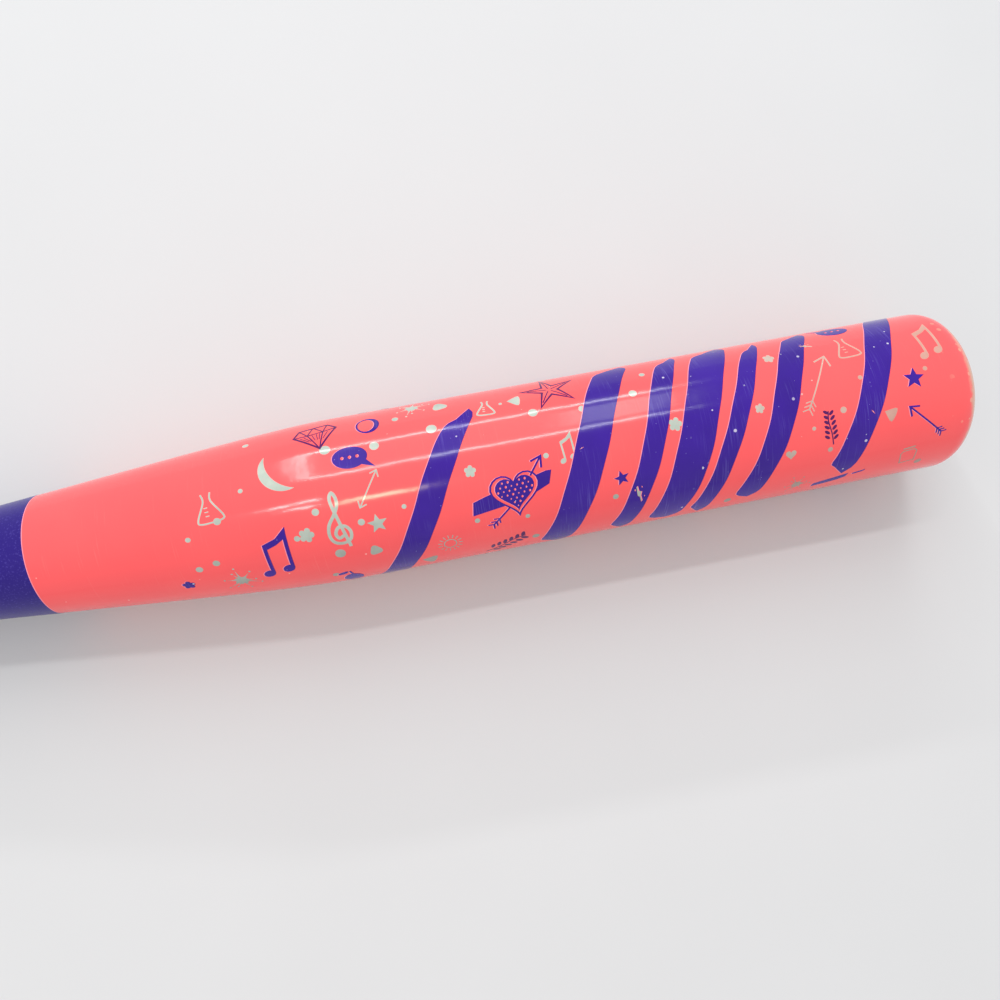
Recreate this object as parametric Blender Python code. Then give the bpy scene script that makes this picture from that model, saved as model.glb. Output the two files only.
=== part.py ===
"""A youth T-ball bat, modelled as the pieces that it is assembled from.

The bat lies along +X, from the knob to the barrel's end, and its barrel touches the ground plane Z = 0.
Every piece is turned about the bat's axis, so a piece is one outline of (x, radius) points that is spun
round that axis. x runs from the knob's end face, and all lengths are in metres.
"""

import math

import bmesh
import bpy

# Driving dimensions of the bat
LENGTH = 0.660
BARREL_RADIUS = 0.028575
HANDLE_RADIUS = 0.0095
BARREL_WALL = 0.0016
HANDLE_WALL = 0.0020

# The taper's Bezier, as distances from the shell's end: where the barrel ends, the curve's two handles, and
# where the straight handle starts
TAPER_REACH = (0.223, 0.262, 0.414, 0.490)

# The barrel's rolled end and the opening that the cap closes
CORNER_RADIUS = 0.0093
OPENING_RADIUS = 0.0185

# The end cap, and the span of the corner, in degrees, that its adhesive fills
CAP_PROUD = 0.0016
CAP_FLANGE_RADIUS = 0.0200
CAP_EDGE_RADIUS = 0.0008
CAP_DISH_RADIUS = 0.0145
CAP_DISH_DEPTH = 0.0012
CAP_BARB_RADIUS = 0.0200
CAP_BARB_LENGTH = 0.0030
CAP_SKIRT_RADIUS = 0.0186
CAP_SKIRT_WALL = 0.0022
CAP_DEPTH = 0.0150
ADHESIVE_START = 15
ADHESIVE_STOP = 75

# The knob, its weld and what closes its bore
KNOB_RADIUS = 0.0225
KNOB_FACE_RADIUS = 0.0165
KNOB_THICKEST = 0.0075
KNOB_NECK_RADIUS = 0.0112
KNOB_LENGTH = 0.0240
KNOB_RECESS_RADIUS = 0.0136
KNOB_RECESS_DEPTH = 0.0024
WELD_LEG = 0.0014
PLUG_FACE = 0.0003
PLUG_STEM_LENGTH = 0.0130
PLUG_STEM_CHAMFER = 0.0018
STICKER_RADIUS = 0.0108
STICKER_THICKNESS = 0.0004

# The grip
GRIP_START = KNOB_LENGTH + 0.0020
GRIP_END = 0.2450
UNDERLAY_THICKNESS = 0.0003
GRIP_THICKNESS = 0.0015
END_TAPE_WIDTH = 0.0190
END_TAPE_THICKNESS = 0.0005
END_TAPE_OVERLAP = 0.0090
END_TAPE_DRAPE = 0.0025

# The gap between neighbouring pieces
GAP = 0.0003

# Faceting and the angle above which an edge is sharp
SEGMENTS = 48
SHARP_ANGLE = 35
CORNER_STEPS = 8
TAPER_STEPS = 20
EDGE_STEPS = 4

SHELL_END = LENGTH - CAP_PROUD
TUBE_START = KNOB_RECESS_DEPTH + GAP
GRIP_LIFT = GAP + UNDERLAY_THICKNESS + GAP
END_TAPE_LIFT = GRIP_LIFT + GRIP_THICKNESS + GAP
AXIS_HEIGHT = BARREL_RADIUS * math.cos(math.pi / SEGMENTS)

CORAL = (1.0, 0.135, 0.125)
PURPLE = (0.045, 0.020, 0.320)
DEEP_PURPLE = (0.030, 0.015, 0.160)
BLACK = (0.018, 0.018, 0.020)
PALE_GREY = (0.62, 0.62, 0.60)
BARE_METAL = (0.60, 0.60, 0.62)
ADHESIVE = (0.55, 0.52, 0.44)


def clear_scene():
    for old in list(bpy.data.objects):
        bpy.data.objects.remove(old)


def paint(name, colour, roughness, metallic=0.0):
    """A Principled BSDF material of one colour."""
    material = bpy.data.materials.new(name)
    material.use_nodes = True
    shader = material.node_tree.nodes["Principled BSDF"]
    shader.inputs["Base Color"].default_value = (*colour, 1.0)
    shader.inputs["Roughness"].default_value = roughness
    shader.inputs["Metallic"].default_value = metallic
    return material


def arc(centre, radius, start, end, steps):
    """Points on an arc in the outline's plane. Angles are in degrees, 0 along +X and 90 away from the axis."""
    points = []
    for step in range(steps + 1):
        angle = math.radians(start + (end - start) * step / steps)
        points.append((centre[0] + radius * math.cos(angle), centre[1] + radius * math.sin(angle)))
    return points


def turned(name, outline, material, on_axis, parent):
    """A solid of revolution about the X axis. An outline that starts and ends on the axis closes there,
    and any other outline closes on itself to make a ring."""
    mesh = bpy.data.meshes.new(name)
    shape = bmesh.new()
    points = [shape.verts.new((x, 0.0, radius)) for x, radius in outline]
    pairs = list(zip(points, points[1:]))
    if not on_axis:
        pairs.append((points[-1], points[0]))
    edges = [shape.edges.new(pair) for pair in pairs]
    bmesh.ops.spin(
        shape,
        geom=points + edges,
        cent=(0, 0, 0),
        axis=(1, 0, 0),
        angle=2 * math.pi,
        steps=SEGMENTS,
        use_merge=True,
    )
    bmesh.ops.remove_doubles(shape, verts=shape.verts, dist=1e-6)
    bmesh.ops.recalc_face_normals(shape, faces=shape.faces)
    shape.to_mesh(mesh)
    shape.free()
    mesh.materials.append(material)
    mesh.shade_smooth()
    mesh.set_sharp_from_angle(angle=math.radians(SHARP_ANGLE))
    piece = bpy.data.objects.new(name, mesh)
    bpy.context.collection.objects.link(piece)
    piece.parent = parent
    return piece


def taper_point(t):
    """A point of the taper's Bezier: t is 0 where the barrel ends and 1 where the straight handle starts."""
    weights = ((1 - t) ** 3, 3 * (1 - t) ** 2 * t, 3 * (1 - t) * t**2, t**3)
    radii = (BARREL_RADIUS, BARREL_RADIUS, HANDLE_RADIUS, HANDLE_RADIUS)
    x = SHELL_END - sum(w * reach for w, reach in zip(weights, TAPER_REACH))
    return x, sum(w * radius for w, radius in zip(weights, radii))


def taper():
    """The taper from the handle's end to the barrel's end."""
    return [taper_point(1 - step / TAPER_STEPS) for step in range(TAPER_STEPS + 1)]


def outer_radius(x):
    """The shell's outer radius at x, read off its own straight stretches so that faceted pieces nest."""
    points = [(0.0, HANDLE_RADIUS), *taper(), (LENGTH, BARREL_RADIUS)]
    for (x0, r0), (x1, r1) in zip(points, points[1:]):
        if x0 <= x <= x1:
            return r0 + (r1 - r0) * (x - x0) / (x1 - x0)
    return BARREL_RADIUS


def wall(x):
    """The tube's wall at x: it thins steadily over the taper."""
    start, end = SHELL_END - TAPER_REACH[3], SHELL_END - TAPER_REACH[0]
    share = min(1.0, max(0.0, (x - start) / (end - start)))
    return HANDLE_WALL + (BARREL_WALL - HANDLE_WALL) * share


def shell_outline():
    corner = (SHELL_END - CORNER_RADIUS, BARREL_RADIUS - CORNER_RADIUS)
    outside = [(TUBE_START, HANDLE_RADIUS), *taper()]
    outside += arc(corner, CORNER_RADIUS, 90, 0, CORNER_STEPS)
    lip = [(SHELL_END, OPENING_RADIUS), (SHELL_END - BARREL_WALL, OPENING_RADIUS)]
    inside = arc(corner, CORNER_RADIUS - BARREL_WALL, 0, 90, CORNER_STEPS)
    inside += [(x, radius - wall(x)) for x, radius in reversed(taper())]
    inside += [(TUBE_START, HANDLE_RADIUS - HANDLE_WALL)]
    return outside + lip + inside


def cap_outline():
    """From the axis, over the dished face and the flange, past the barb that holds behind the lip, to the
    open skirt inside the barrel."""
    face = LENGTH
    dish = face - CAP_DISH_DEPTH
    flange_back = SHELL_END + GAP
    neck = OPENING_RADIUS - GAP
    barb = SHELL_END - BARREL_WALL - GAP
    back = SHELL_END - CAP_DEPTH
    roof = barb - CAP_SKIRT_WALL
    edge_centre = (face - CAP_EDGE_RADIUS, CAP_FLANGE_RADIUS - CAP_EDGE_RADIUS)
    return [
        (dish, 0.0),
        (dish, CAP_DISH_RADIUS - CAP_DISH_DEPTH),
        (face, CAP_DISH_RADIUS),
        *arc(edge_centre, CAP_EDGE_RADIUS, 0, 90, EDGE_STEPS),
        (flange_back, CAP_FLANGE_RADIUS),
        (flange_back, neck),
        (barb, neck),
        (barb, CAP_BARB_RADIUS),
        (barb - CAP_BARB_LENGTH, CAP_SKIRT_RADIUS),
        (back, CAP_SKIRT_RADIUS),
        (back, CAP_SKIRT_RADIUS - CAP_SKIRT_WALL),
        (roof, CAP_SKIRT_RADIUS - CAP_SKIRT_WALL),
        (roof, 0.0),
    ]


def adhesive_outline():
    """The bead poured behind the lip: it follows the rolled corner outside and ends square inside."""
    corner = (SHELL_END - CORNER_RADIUS, BARREL_RADIUS - CORNER_RADIUS)
    radius = CORNER_RADIUS - BARREL_WALL - GAP
    bead = arc(corner, radius, ADHESIVE_START, ADHESIVE_STOP, CORNER_STEPS)
    inner = CAP_BARB_RADIUS + GAP
    return [*bead, (bead[-1][0], inner), (bead[0][0], inner)]


def knob_outline():
    """The knob's outside, from its end face over the rounded rim and down the flare, and the bore."""
    rim_height = KNOB_RADIUS - KNOB_FACE_RADIUS
    rim = []
    for across, up in arc((0, 0), 1.0, 180, 90, CORNER_STEPS):
        rim.append((KNOB_THICKEST * (1 + across), KNOB_FACE_RADIUS + rim_height * up))
    flare = []
    for step in range(1, CORNER_STEPS + 1):
        t = step / CORNER_STEPS
        fall = t * t * (3 - 2 * t)
        x = KNOB_THICKEST + (KNOB_LENGTH - KNOB_THICKEST) * t
        flare.append((x, KNOB_RADIUS + (KNOB_NECK_RADIUS - KNOB_RADIUS) * fall))
    bore = HANDLE_RADIUS + GAP
    return [
        (0.0, KNOB_RECESS_RADIUS),
        *rim,
        *flare,
        (KNOB_LENGTH, bore),
        (KNOB_RECESS_DEPTH, bore),
        (KNOB_RECESS_DEPTH, KNOB_RECESS_RADIUS),
    ]


def weld_outline():
    start, inner = KNOB_LENGTH + GAP, HANDLE_RADIUS + GAP
    return [(start, inner), (start, inner + WELD_LEG), (start + WELD_LEG, inner)]


def plug_outline():
    disc_back = KNOB_RECESS_DEPTH - GAP
    disc_radius = KNOB_RECESS_RADIUS - GAP
    stem = HANDLE_RADIUS - HANDLE_WALL - GAP
    pocket = PLUG_FACE + STICKER_THICKNESS + GAP
    stem_end = disc_back + PLUG_STEM_LENGTH
    return [
        (pocket, 0.0),
        (pocket, STICKER_RADIUS + GAP),
        (PLUG_FACE, STICKER_RADIUS + GAP),
        (PLUG_FACE, disc_radius),
        (disc_back, disc_radius),
        (disc_back, stem),
        (stem_end - PLUG_STEM_CHAMFER, stem),
        (stem_end, stem - PLUG_STEM_CHAMFER),
        (stem_end, 0.0),
    ]


def sticker_outline():
    back = PLUG_FACE + STICKER_THICKNESS
    return [(PLUG_FACE, 0.0), (PLUG_FACE, STICKER_RADIUS), (back, STICKER_RADIUS), (back, 0.0)]


def lifted(start, end, lift):
    """A line from start to end that keeps lift above the tube and bends where the tube bends."""
    between = [x for x, _ in taper() if start < x < end]
    return [(x, outer_radius(x) + lift) for x in (start, *between, end)]


def sleeve_outline(start, end, lift, thickness):
    return lifted(start, end, lift) + lifted(start, end, lift + thickness)[::-1]


def end_tape_outline():
    """The finishing tape lies over the grip's end, drapes down its edge and runs on along the taper."""
    start = GRIP_END - END_TAPE_OVERLAP
    edge = GRIP_END + GAP
    end = start + END_TAPE_WIDTH
    inside = lifted(start, edge, END_TAPE_LIFT) + lifted(edge, end, GAP)
    over_grip = lifted(start, edge + END_TAPE_THICKNESS, END_TAPE_LIFT + END_TAPE_THICKNESS)
    over_tube = lifted(edge + END_TAPE_DRAPE, end, GAP + END_TAPE_THICKNESS)
    return inside + (over_grip + over_tube)[::-1]


def bat_axis():
    """The empty that every piece hangs from: it centres the bat on X and lays a facet on the ground."""
    axis = bpy.data.objects.new("bat_axis", None)
    axis.location = (-LENGTH / 2, 0.0, AXIS_HEIGHT)
    axis.rotation_euler.x = math.pi / SEGMENTS
    bpy.context.collection.objects.link(axis)
    return axis


def build():
    clear_scene()
    axis = bat_axis()
    coral = paint("coral_paint", CORAL, 0.25)
    purple = paint("purple_paint", PURPLE, 0.30)
    cap_rubber = paint("cap_rubber", DEEP_PURPLE, 0.55)
    black = paint("grip_leather", BLACK, 0.65)
    grey = paint("pale_film", PALE_GREY, 0.50)
    metal = paint("weld_metal", BARE_METAL, 0.40, 1.0)
    glue = paint("adhesive", ADHESIVE, 0.60)
    turned("barrel_shell", shell_outline(), coral, False, axis)
    turned("end_cap", cap_outline(), cap_rubber, True, axis)
    turned("end_cap_adhesive", adhesive_outline(), glue, False, axis)
    turned("knob", knob_outline(), purple, False, axis)
    turned("knob_weld_bead", weld_outline(), metal, False, axis)
    turned("knob_plug", plug_outline(), cap_rubber, True, axis)
    turned("knob_sticker", sticker_outline(), grey, True, axis)
    underlay = sleeve_outline(GRIP_START, GRIP_END, GAP, UNDERLAY_THICKNESS)
    turned("grip_underlay_tape", underlay, grey, False, axis)
    grip = sleeve_outline(GRIP_START, GRIP_END, GRIP_LIFT, GRIP_THICKNESS)
    turned("grip_wrap", grip, black, False, axis)
    turned("grip_end_tape", end_tape_outline(), black, False, axis)


build()
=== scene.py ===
"""The looks of a youth T-ball bat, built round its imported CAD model.

The bat lies along X with its barrel's end at +X. Two kinds of place are used below:
- world places, in metres, as the CAD model has them;
- places of the printed artwork, in millimetres: s is the distance from the shell's end towards the knob, and
  v is the distance round the barrel from the line that faces the camera, positive towards +Y.
"""

import math
import random

import bmesh
import bpy
import numpy as np
from mathutils import Matrix, Vector
from mathutils.geometry import delaunay_2d_cdt


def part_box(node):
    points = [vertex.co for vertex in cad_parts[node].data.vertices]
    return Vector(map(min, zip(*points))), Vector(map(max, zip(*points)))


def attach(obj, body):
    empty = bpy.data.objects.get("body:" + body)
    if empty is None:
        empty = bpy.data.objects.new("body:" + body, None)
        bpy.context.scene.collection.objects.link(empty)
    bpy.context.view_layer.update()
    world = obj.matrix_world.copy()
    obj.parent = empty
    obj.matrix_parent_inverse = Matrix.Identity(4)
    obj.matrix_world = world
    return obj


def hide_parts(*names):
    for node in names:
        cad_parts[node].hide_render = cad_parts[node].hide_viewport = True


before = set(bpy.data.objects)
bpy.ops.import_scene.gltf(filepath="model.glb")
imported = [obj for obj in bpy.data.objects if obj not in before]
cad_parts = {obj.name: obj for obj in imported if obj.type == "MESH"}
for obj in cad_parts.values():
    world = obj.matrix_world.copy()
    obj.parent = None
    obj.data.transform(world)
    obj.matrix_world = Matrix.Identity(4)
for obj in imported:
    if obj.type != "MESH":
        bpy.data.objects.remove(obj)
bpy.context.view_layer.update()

# ---- sizes

MM = 0.001
SHELL_LOW, SHELL_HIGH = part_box("barrel_shell")
CAP_LOW, CAP_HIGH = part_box("end_cap")
KNOB_LOW, KNOB_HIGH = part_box("knob")
GRIP_LOW, GRIP_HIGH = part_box("grip_wrap")
TAPE_LOW, TAPE_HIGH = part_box("grip_end_tape")
AXIS_Z = (SHELL_LOW.z + SHELL_HIGH.z) / 2
SHELL_END = SHELL_HIGH.x
KNOB_FACE = KNOB_LOW.x
GAP = 0.3 * MM

# The shell's outline, as the CAD model has it
BARREL_R = 28.575 * MM
HANDLE_R = 9.5 * MM
BARREL_WALL = 1.6 * MM
HANDLE_WALL = 2.0 * MM
CORNER_R = 9.3 * MM
OPENING_R = 18.5 * MM
TAPER_REACH = (223.0, 262.0, 414.0, 490.0)

# How far from the shell's end the coral paint meets the handle's purple, and how high each print stands
PAINT_EDGE = 323.5
PALE_LIFT = 0.03 * MM
UNDERPRINT_LIFT = 0.04 * MM
OVERPRINT_LIFT = 0.05 * MM
PURPLE_LIFT = 0.07 * MM
SUNK = 0.02 * MM

# How finely a print follows the shell, in millimetres: its inner grid, and the longest edge of its outline
GRID = 1.5
EDGE = 1.0

# Radii of the cap, the knob, the knob's waist, its plug and the plug's label
CAP_R = 20.0 * MM
KNOB_R = 22.5 * MM
KNOB_WAIST_R = 11.2 * MM
PLUG_R = 13.3 * MM
LABEL_R = 10.8 * MM

# How far the knob's thickest place is behind its face
KNOB_BULGE = 7.5 * MM

# The grip's wrap
WRAP_PITCH = 24.0 * MM
WRAP_LIFT = 2.0 * MM
WRAP_STEP = 0.45 * MM
WRAP_THICKNESS = 1.0 * MM

# The camera: the s that it stands beside and its distance, its turns from square-on and its elevation, both
# in degrees, and its lens
CAMERA_S = 189.1
CAMERA_DISTANCE = 0.2920
CAMERA_TURNS = (1.305, 4.432, 10.673)
CAMERA_ELEVATION = 80.0
CAMERA_LENS = 29.30
SENSOR = 36.0


def facing_axes():
    """Directions as the camera sees the bat: along it, across it towards +Y, and out towards the camera."""
    tilt = math.radians(CAMERA_ELEVATION)
    along = Vector((1, 0, 0))
    up = Vector((0, math.sin(tilt), math.cos(tilt)))
    out = Vector((0, -math.cos(tilt), math.sin(tilt)))
    return along, up, out


ALONG, UP, OUT = facing_axes()


def on_axis(s):
    return Vector((SHELL_END - s * MM, 0, AXIS_Z))


# ---- the shell's surface


def taper_curve(count):
    """Arrays of s in millimetres and radius in metres along the taper, from the barrel to the handle."""
    t = np.linspace(0, 1, count)
    weights = ((1 - t) ** 3, 3 * (1 - t) ** 2 * t, 3 * (1 - t) * t**2, t**3)
    radii = (BARREL_R, BARREL_R, HANDLE_R, HANDLE_R)
    return sum(w * s for w, s in zip(weights, TAPER_REACH)), sum(w * r for w, r in zip(weights, radii))


TAPER_S, TAPER_R = taper_curve(400)


def radius_at(s):
    """The shell's outer radius at s, rolled corner included."""
    s = np.asarray(s, float)
    inward = np.clip(CORNER_R - s * MM, 0, CORNER_R)
    corner = BARREL_R - CORNER_R + np.sqrt(CORNER_R**2 - inward**2)
    return np.where(s * MM < CORNER_R, corner, np.interp(s, TAPER_S, TAPER_R))


def skin(s, v, lift=0.0):
    """World points of the shell's surface at s and v, lift metres above it, and its normals there."""
    radius = radius_at(s)
    slope = (radius_at(s + 0.5) - radius_at(s - 0.5)) / MM
    angle = v * MM / BARREL_R
    outward = np.cos(angle)[:, None] * np.array(OUT) + np.sin(angle)[:, None] * np.array(UP)
    normal = outward + slope[:, None] * np.array(ALONG)
    normal /= np.linalg.norm(normal, axis=1, keepdims=True)
    centre = np.array([SHELL_END, 0, AXIS_Z]) - s[:, None] * MM * np.array(ALONG)
    return centre + outward * radius[:, None] + normal * lift, normal


# ---- mesh helpers


def new_object(name, data):
    made = bpy.data.objects.new(name, data)
    bpy.context.scene.collection.objects.link(made)
    return made


def link(name, mesh, material, replaced=None):
    piece = new_object(name, mesh)
    mesh.materials.append(material)
    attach(piece, "root")
    if replaced:
        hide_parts(replaced)
    return piece


def arc(cx, cy, radius, start, end, steps):
    """Points on an arc: angles in degrees, 0 along the first coordinate and 90 along the second."""
    turns = [math.radians(start + (end - start) * i / steps) for i in range(steps + 1)]
    return [(cx + radius * math.cos(a), cy + radius * math.sin(a)) for a in turns]


def lathe(name, outline, material, slot, replaced=None, steps=192, crease=35, shape=None):
    """A solid turned about the bat's axis from (x, radius) points. An outline that starts and ends at radius
    0 closes there, and any other closes on itself. shape takes a turned point's (x, radius, angle) and gives
    its final x and radius."""
    made = bmesh.new()
    points = [made.verts.new((x, 0, r)) for x, r in outline]
    pairs = list(zip(points, points[1:]))
    if outline[0][1] > 0:
        pairs.append((points[-1], points[0]))
    edges = [made.edges.new(pair) for pair in pairs]
    turning = dict(cent=(0, 0, 0), axis=(1, 0, 0), angle=math.tau, steps=steps, use_merge=True)
    bmesh.ops.spin(made, geom=points + edges, **turning)
    bmesh.ops.remove_doubles(made, verts=made.verts, dist=1e-7)
    bmesh.ops.recalc_face_normals(made, faces=made.faces)
    for vert in made.verts:
        x, radius, angle = vert.co.x, math.hypot(vert.co.y, vert.co.z), math.atan2(vert.co.y, vert.co.z)
        if shape:
            x, radius = shape(x, radius, angle)
        vert.co = (x, radius * math.sin(angle), AXIS_Z + radius * math.cos(angle))
    mesh = bpy.data.meshes.new(name)
    made.to_mesh(mesh)
    made.free()
    mesh.shade_smooth()
    mesh.set_sharp_from_angle(angle=math.radians(crease))
    return link(name, mesh, material, replaced)


# ---- materials


GLOSSY = {"Specular_IOR_Level": 0.0, "Coat_Weight": 1.0, "Coat_IOR": 1.38}


class Look:
    """A Principled material and short ways to add nodes to it."""

    def __init__(self, name, **sockets):
        self.material = bpy.data.materials.new(name)
        self.material.use_nodes = True
        self.tree = self.material.node_tree
        self.shader = self.tree.nodes["Principled BSDF"]
        for socket, value in sockets.items():
            self.shader.inputs[socket.replace("_", " ")].default_value = value

    def add(self, kind, inputs, out=0, **settings):
        node = self.tree.nodes.new("ShaderNode" + kind)
        for key, value in settings.items():
            setattr(node, key, value)
        for key, value in inputs.items():
            self.put(node.inputs[key], value)
        return node.outputs[out]

    def put(self, socket, value):
        if isinstance(value, bpy.types.NodeSocket):
            self.tree.links.new(value, socket)
        else:
            socket.default_value = value

    def drive(self, socket, value):
        self.put(self.shader.inputs[socket], value)

    def math(self, operation, a, b=0.0):
        return self.add("Math", {0: a, 1: b}, operation=operation)

    def hypotenuse(self, a, b):
        return self.math("SQRT", self.math("ADD", self.math("POWER", a, 2), self.math("POWER", b, 2)))

    def place(self):
        return self.add("TexCoord", {}, out="Object")

    def part(self, index):
        return self.add("SeparateXYZ", {0: self.place()}, out=index)

    def scaled(self, by):
        return self.add("VectorMath", {0: self.place(), 3: by}, operation="SCALE")

    def angle(self):
        """The angle round the bat's axis, in radians. It jumps underneath."""
        return self.math("ARCTAN2", self.part(1), self.math("SUBTRACT", self.part(2), AXIS_Z))

    def unrolled(self, along, around):
        """Metres along the bat times along, and metres round the barrel times around."""
        across = self.math("MULTIPLY", self.angle(), BARREL_R * around)
        return self.add("CombineXYZ", {0: self.math("MULTIPLY", self.part(0), along), 1: across})

    def noise(self, vector, detail=2.0, rough=0.5):
        return self.add("TexNoise", {"Vector": vector, "Scale": 1.0, "Detail": detail, "Roughness": rough})

    def cells(self, vector, out="Distance"):
        return self.add("TexVoronoi", {"Vector": vector, "Scale": 1.0}, out=out)

    def ramp(self, value, low, high, at_low=0.0, at_high=1.0):
        """value mapped from low..high to at_low..at_high, and held outside."""
        inputs = {"Value": value, "From Min": low, "From Max": high, "To Min": at_low, "To Max": at_high}
        return self.add("MapRange", inputs)

    def mix(self, factor, a, b):
        a, b = (c if isinstance(c, bpy.types.NodeSocket) else (*c, 1.0) for c in (a, b))
        return self.add("Mix", {0: factor, 6: a, 7: b}, out=2, data_type="RGBA")

    def tint(self, tone, mask, share, colour):
        """tone with colour over it where mask is 1, at that share."""
        return self.mix(self.math("MULTIPLY", mask, share), tone, colour)

    def bump(self, height, distance, strength=1.0, normal=None):
        inputs = {"Height": height, "Distance": distance, "Strength": strength}
        if normal:
            inputs["Normal"] = normal
        return self.add("Bump", inputs)

    def roughen(self, noise, low, high):
        """Roughness from low to high as the noise goes from its usual low to its usual high."""
        self.drive("Roughness", self.ramp(noise, 0.3, 0.7, low, high))

    def gloss(self, scratches=0.0):
        """The clear coat is never quite flat: slow waves, a fine peel and any scratches."""
        slow = self.bump(self.noise(self.unrolled(80, 80)), 0.00012)
        peel = self.bump(self.noise(self.unrolled(420, 420)), 0.000006, normal=slow)
        self.drive("Coat Normal", self.bump(scratches, 0.000006, normal=peel))

    def specks(self, vector, size, share):
        """1 in small round specks, up to size cells in radius, in that share of the cells."""
        lot = self.add("SeparateColor", {0: self.cells(vector, "Color")})
        return self.math("LESS_THAN", self.cells(vector), self.ramp(lot, 1 - share, 1, 0.0, size))

    def hairlines(self, density, low, high):
        """Fine scratches that run round the bat, in patches."""
        lines = self.noise(self.unrolled(density, density * 0.03), detail=3)
        patches = self.noise(self.unrolled(55, 40))
        return self.math("MULTIPLY", self.ramp(lines, low, high), self.ramp(patches, 0.42, 0.68))


def coral_look():
    look = Look("coral_paint", Coat_Roughness=0.12, **GLOSSY)
    tone = look.mix(look.noise(look.scaled(30), detail=3), (0.94, 0.095, 0.106), (1.0, 0.124, 0.124))
    tone = look.tint(tone, look.specks(look.scaled(420), 0.16, 0.05), 0.6, (0.95, 0.55, 0.50))
    marks = look.hairlines(1900, 0.60, 0.74)
    tone = look.tint(tone, marks, 0.12, (1.0, 0.38, 0.34))
    # The paint is rubbed through to a cream primer in a ragged, patchy ring round the rolled end
    ragged = look.math("MULTIPLY", look.noise(look.scaled(420), detail=4, rough=0.6), 0.0030)
    reach = look.math("ADD", look.part(0), ragged)
    worn = look.ramp(reach, SHELL_END - 0.0042, SHELL_END - 0.0020)
    worn = look.math("MULTIPLY", worn, look.ramp(reach, SHELL_END - 0.0004, SHELL_END + 0.0004, 1.0, 0.12))
    patchy = look.noise(look.scaled(130), detail=3, rough=0.6)
    worn = look.math("MULTIPLY", worn, look.ramp(patchy, 0.36, 0.54, 0.25, 1.0))
    nicks = look.specks(look.scaled(300), 0.30, 0.30)
    near = look.ramp(look.part(0), SHELL_END - 0.014, SHELL_END - 0.004)
    tone = look.tint(tone, look.math("MULTIPLY", nicks, near), 0.7, (0.90, 0.42, 0.30))
    tone = look.mix(worn, tone, (0.67, 0.38, 0.27))
    look.drive("Base Color", tone)
    look.roughen(look.noise(look.scaled(90), detail=4), 0.40, 0.55)
    wave = look.noise(look.unrolled(260, 260))
    look.drive("Normal", look.bump(look.math("SUBTRACT", wave, marks), 0.00001))
    look.gloss(marks)
    return look.material


def purple_look():
    look = Look("purple_ink", Coat_Roughness=0.14, **GLOSSY)
    tone = look.mix(look.noise(look.scaled(45), detail=4), (0.022, 0.002, 0.180), (0.048, 0.009, 0.345))
    marks = look.hairlines(2300, 0.55, 0.72)
    tone = look.tint(tone, marks, 0.50, (0.20, 0.17, 0.58))
    # Specks are worn through it, and there are more of them near the barrel's end
    dots = look.specks(look.unrolled(330, 330), 0.20, 0.16)
    more = look.specks(look.unrolled(410, 390), 0.21, 0.32)
    near = look.ramp(look.part(0), SHELL_END - 0.110, SHELL_END - 0.050)
    dots = look.math("MAXIMUM", dots, look.math("MULTIPLY", more, near))
    tone = look.tint(tone, dots, 0.85, (0.58, 0.54, 0.68))
    tone = look.tint(tone, look.specks(look.unrolled(1100, 1100), 0.22, 0.08), 0.5, (0.28, 0.24, 0.60))
    look.drive("Base Color", tone)
    look.drive("Roughness", look.ramp(marks, 0, 1, 0.40, 0.60))
    look.drive("Normal", look.bump(look.math("ADD", marks, dots), 0.00002, 0.5))
    look.gloss(marks)
    return look.material


def pale_look():
    look = Look("pale_ink", Coat_Roughness=0.12, **GLOSSY)
    patches = look.noise(look.scaled(160), detail=4, rough=0.6)
    tone = look.mix(look.ramp(patches, 0.35, 0.65), (0.36, 0.47, 0.41), (0.47, 0.58, 0.51))
    # It is thin, so the coral shows through, most of all near the barrel's end. Towards -Y, the lower side
    # in the camera's view, it is painted darker: painted shade
    thin = look.ramp(look.part(0), SHELL_END - 0.110, SHELL_END - 0.030, 0.08, 0.62)
    tone = look.mix(thin, tone, (0.70, 0.20, 0.14))
    painted_shade = look.ramp(look.angle(), math.radians(-25), math.radians(-70), 0.0, 0.60)
    tone = look.mix(painted_shade, tone, (0.24, 0.20, 0.18))
    tone = look.tint(tone, look.specks(look.unrolled(1400, 1400), 0.30, 0.25), 0.35, (0.75, 0.32, 0.30))
    look.drive("Base Color", tone)
    look.roughen(patches, 0.40, 0.55)
    look.gloss()
    return look.material


def edge_look(name, low, high):
    """The thin line that shows where one print is out of register with the next."""
    look = Look(name, Coat_Roughness=0.12, **GLOSSY)
    tone = look.noise(look.scaled(300), detail=3)
    look.drive("Base Color", look.mix(tone, low, high))
    look.roughen(tone, 0.40, 0.55)
    look.gloss()
    return look.material


def satin_look(name):
    """The handle's purple paint: less glossy than the barrel's, with a fine grain."""
    look = Look(name, Specular_IOR_Level=0.15, Coat_Weight=0.45, Coat_Roughness=0.20, Coat_IOR=1.38)
    tone = look.mix(look.noise(look.scaled(50), detail=3), (0.013, 0.002, 0.155), (0.022, 0.006, 0.210))
    grain = look.noise(look.scaled(1500))
    tone = look.tint(tone, look.ramp(grain, 0.55, 0.75), 0.30, (0.13, 0.10, 0.50))
    tone = look.tint(tone, look.specks(look.scaled(300), 0.14, 0.05), 0.8, (0.50, 0.47, 0.62))
    look.drive("Base Color", tone)
    look.roughen(grain, 0.36, 0.50)
    look.drive("Normal", look.bump(grain, 0.000015, 0.8))
    return look.material


def rubber_look(name, low, high, roughness):
    look = Look(name)
    grain = look.noise(look.scaled(1800), detail=3)
    look.drive("Base Color", look.mix(look.noise(look.scaled(120), detail=3), low, high))
    look.roughen(grain, roughness - 0.08, roughness + 0.08)
    look.drive("Normal", look.bump(grain, 0.00004, 0.7))
    return look.material


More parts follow.
